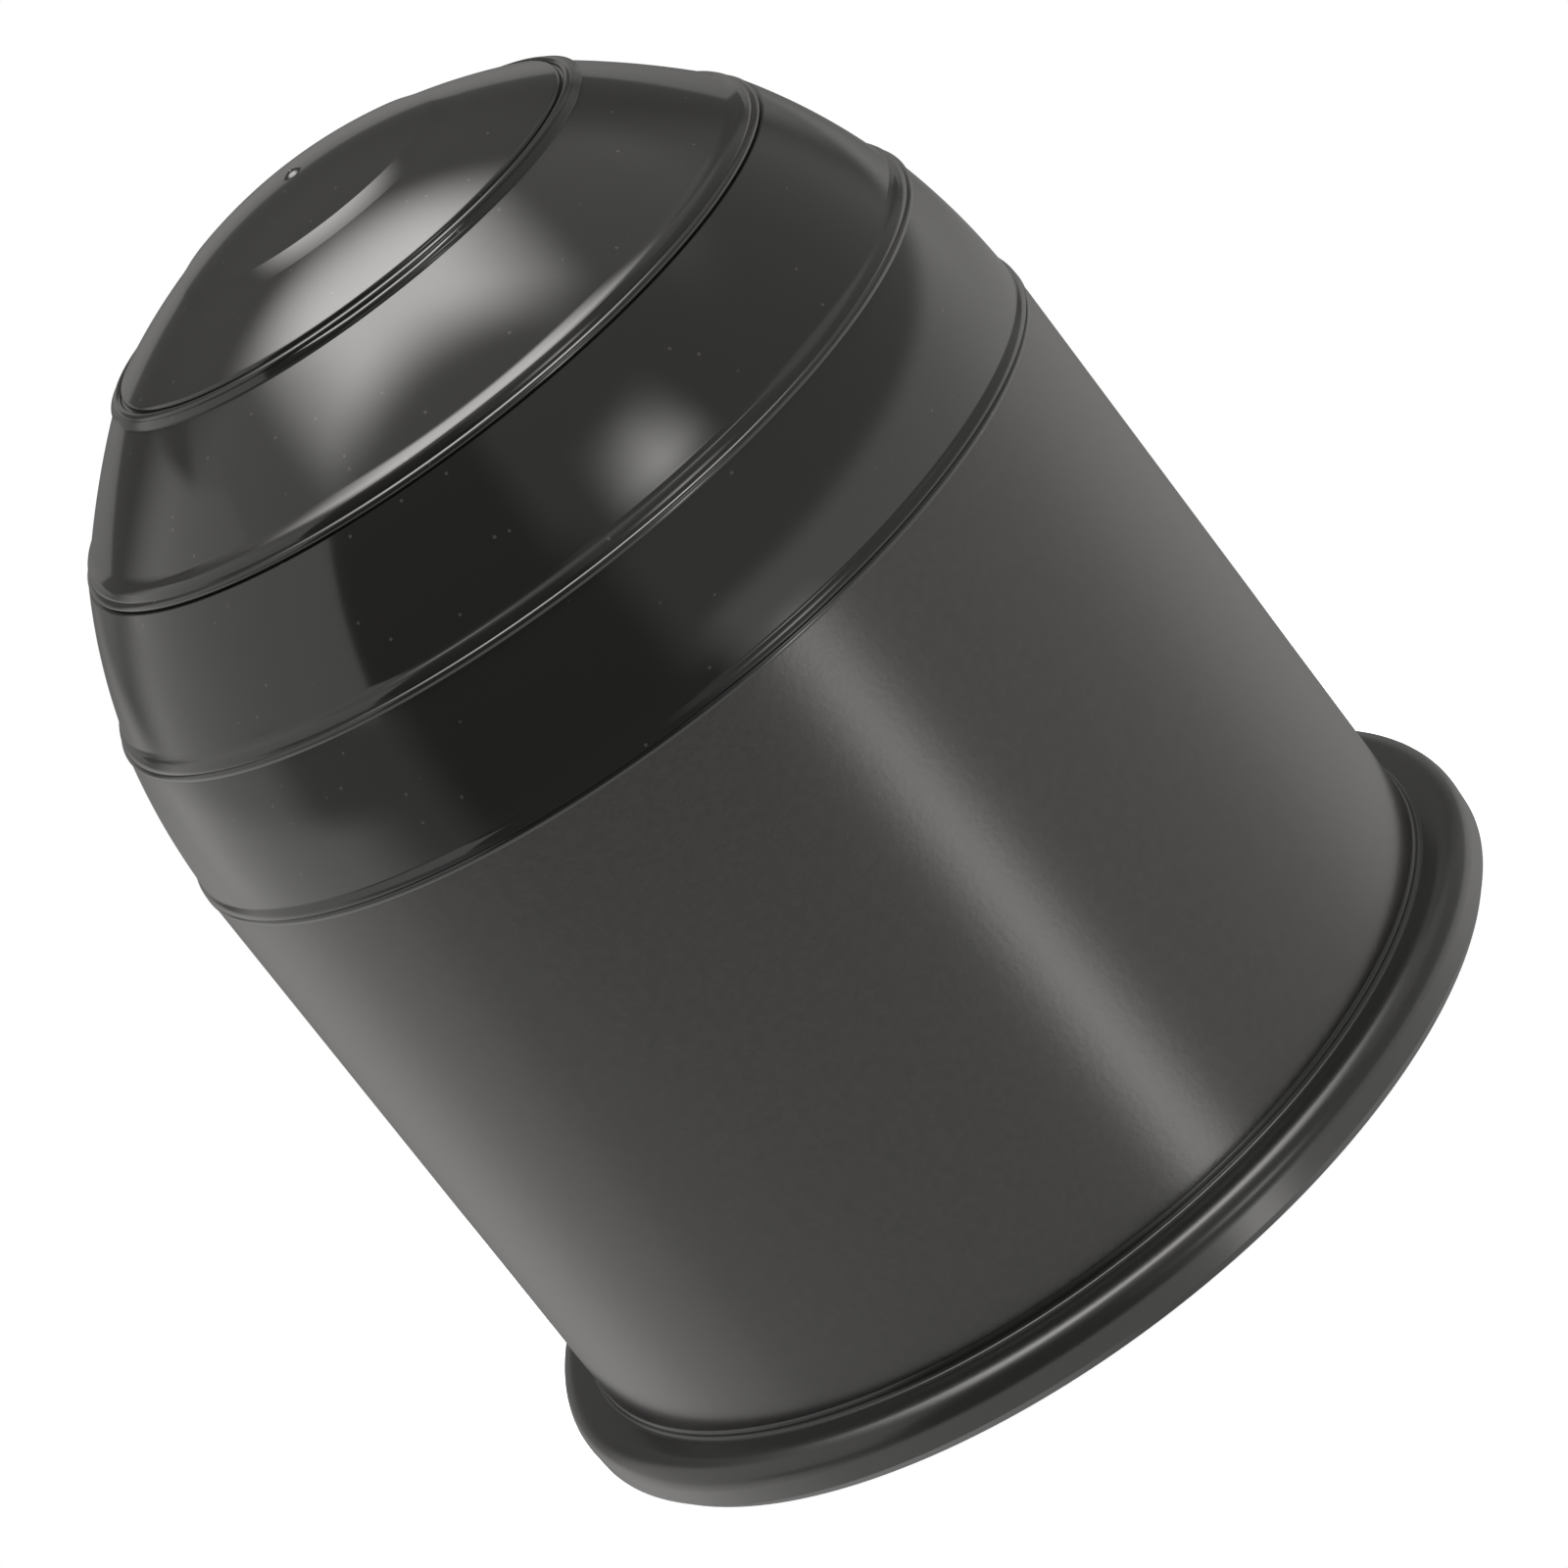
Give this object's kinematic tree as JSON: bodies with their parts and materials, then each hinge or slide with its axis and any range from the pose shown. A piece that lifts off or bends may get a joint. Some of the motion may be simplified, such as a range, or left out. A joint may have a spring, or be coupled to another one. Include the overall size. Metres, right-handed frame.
{
  "type": "tow ball cover",
  "caption": "Moulded cap that snaps over a tow ball: a stepped dome with bead rings, a straight skirt, a flanged open rim and grip ribs inside.",
  "frame": {"origin": "middle of the open rim's face, which the cap stands on", "axes": "+Z along the cap's axis, from the rim up to the crown; the cap is turned about it"},
  "size_m": [0.07, 0.07, 0.0785],
  "materials": {
    "cover": "black moulded plastic, glossy dome, rings and rim, satin skirt"
  },
  "bodies": {
    "root": {"cover": "cover"}
  },
  "joints": []
}
